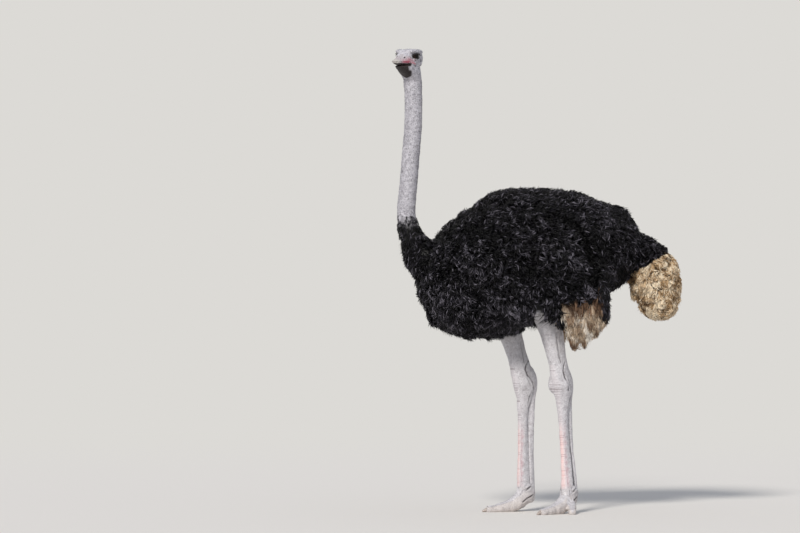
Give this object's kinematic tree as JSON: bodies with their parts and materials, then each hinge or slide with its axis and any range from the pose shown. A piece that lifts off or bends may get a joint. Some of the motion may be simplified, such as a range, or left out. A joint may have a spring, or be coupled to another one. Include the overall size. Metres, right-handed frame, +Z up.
{
  "type": "ostrich",
  "caption": "Adult male ostrich standing still, head turned, with black body plumage, bare grey neck and legs, and a drooping pale tail.",
  "frame": {"origin": "middle of the model's box at floor level, under the belly between the feet", "axes": "+Z up, the bird faces -X, its left side is towards -Y"},
  "size_m": [1.4142, 0.5812, 2.1823],
  "materials": {
    "plumage": "soft, slightly silky",
    "tail_plumes": "soft, curled",
    "wing_plumes": "soft, stringy",
    "skin": "matte with short down",
    "leg_skin": "dry and scaly",
    "horn": "satin horn",
    "claw": "satin horn",
    "eye": "wet and glossy"
  },
  "bodies": {
    "root": {"head": "skin", "bill_upper": "horn", "bill_lower": "horn", "eye_left": "eye", "eye_right": "eye", "ear_left": "skin", "ear_right": "skin", "neck_upper": "skin", "neck_middle": "skin", "neck_base": "plumage", "trunk": "plumage", "wing_left": "plumage", "wing_right": "plumage", "wing_plumes_left": "wing_plumes", "wing_plumes_right": "wing_plumes", "tail_coverts": "plumage", "tail_plumes": "tail_plumes", "thigh_left": "leg_skin", "thigh_right": "leg_skin", "shin_left": "leg_skin", "shin_right": "leg_skin", "hock_left": "leg_skin", "hock_right": "leg_skin", "shank_left": "leg_skin", "shank_right": "leg_skin", "foot_left": "leg_skin", "foot_right": "leg_skin", "toe_large_left": "leg_skin", "toe_large_right": "leg_skin", "toe_small_left": "leg_skin", "toe_small_right": "leg_skin", "claw_left": "claw", "claw_right": "claw"}
  },
  "joints": []
}
